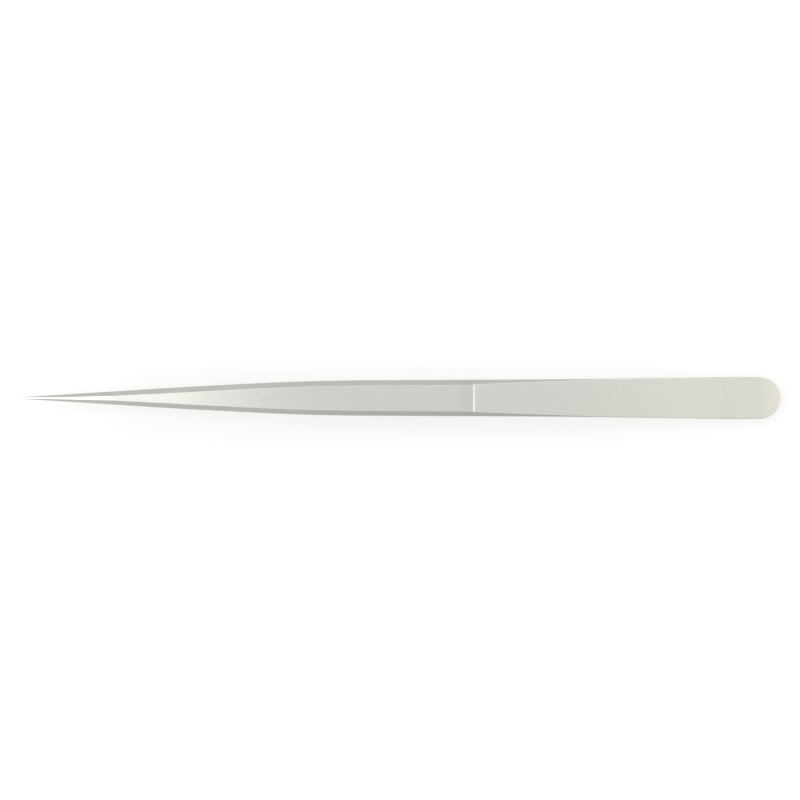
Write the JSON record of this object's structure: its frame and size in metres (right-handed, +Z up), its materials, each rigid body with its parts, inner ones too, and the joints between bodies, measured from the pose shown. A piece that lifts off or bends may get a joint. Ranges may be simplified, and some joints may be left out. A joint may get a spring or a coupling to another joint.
{
  "type": "long-tip tweezers",
  "caption": "Straight precision tweezers with long needle tips: bevelled steel leaves, ground thinner behind the grip and welded face to face at the round tail.",
  "frame": {"origin": "centre of the bounding box at its bottom, on the surface that the tweezers lie on", "axes": "+Z up, square to the lower leaf's grip flat; +X from the tips towards the welded tail; Y across the leaves"},
  "size_m": [0.1402, 0.0078, 0.0141],
  "materials": {
    "steel": "satin"
  },
  "bodies": {
    "root": {"upper_leaf": "steel", "lower_leaf": "steel"}
  },
  "joints": []
}
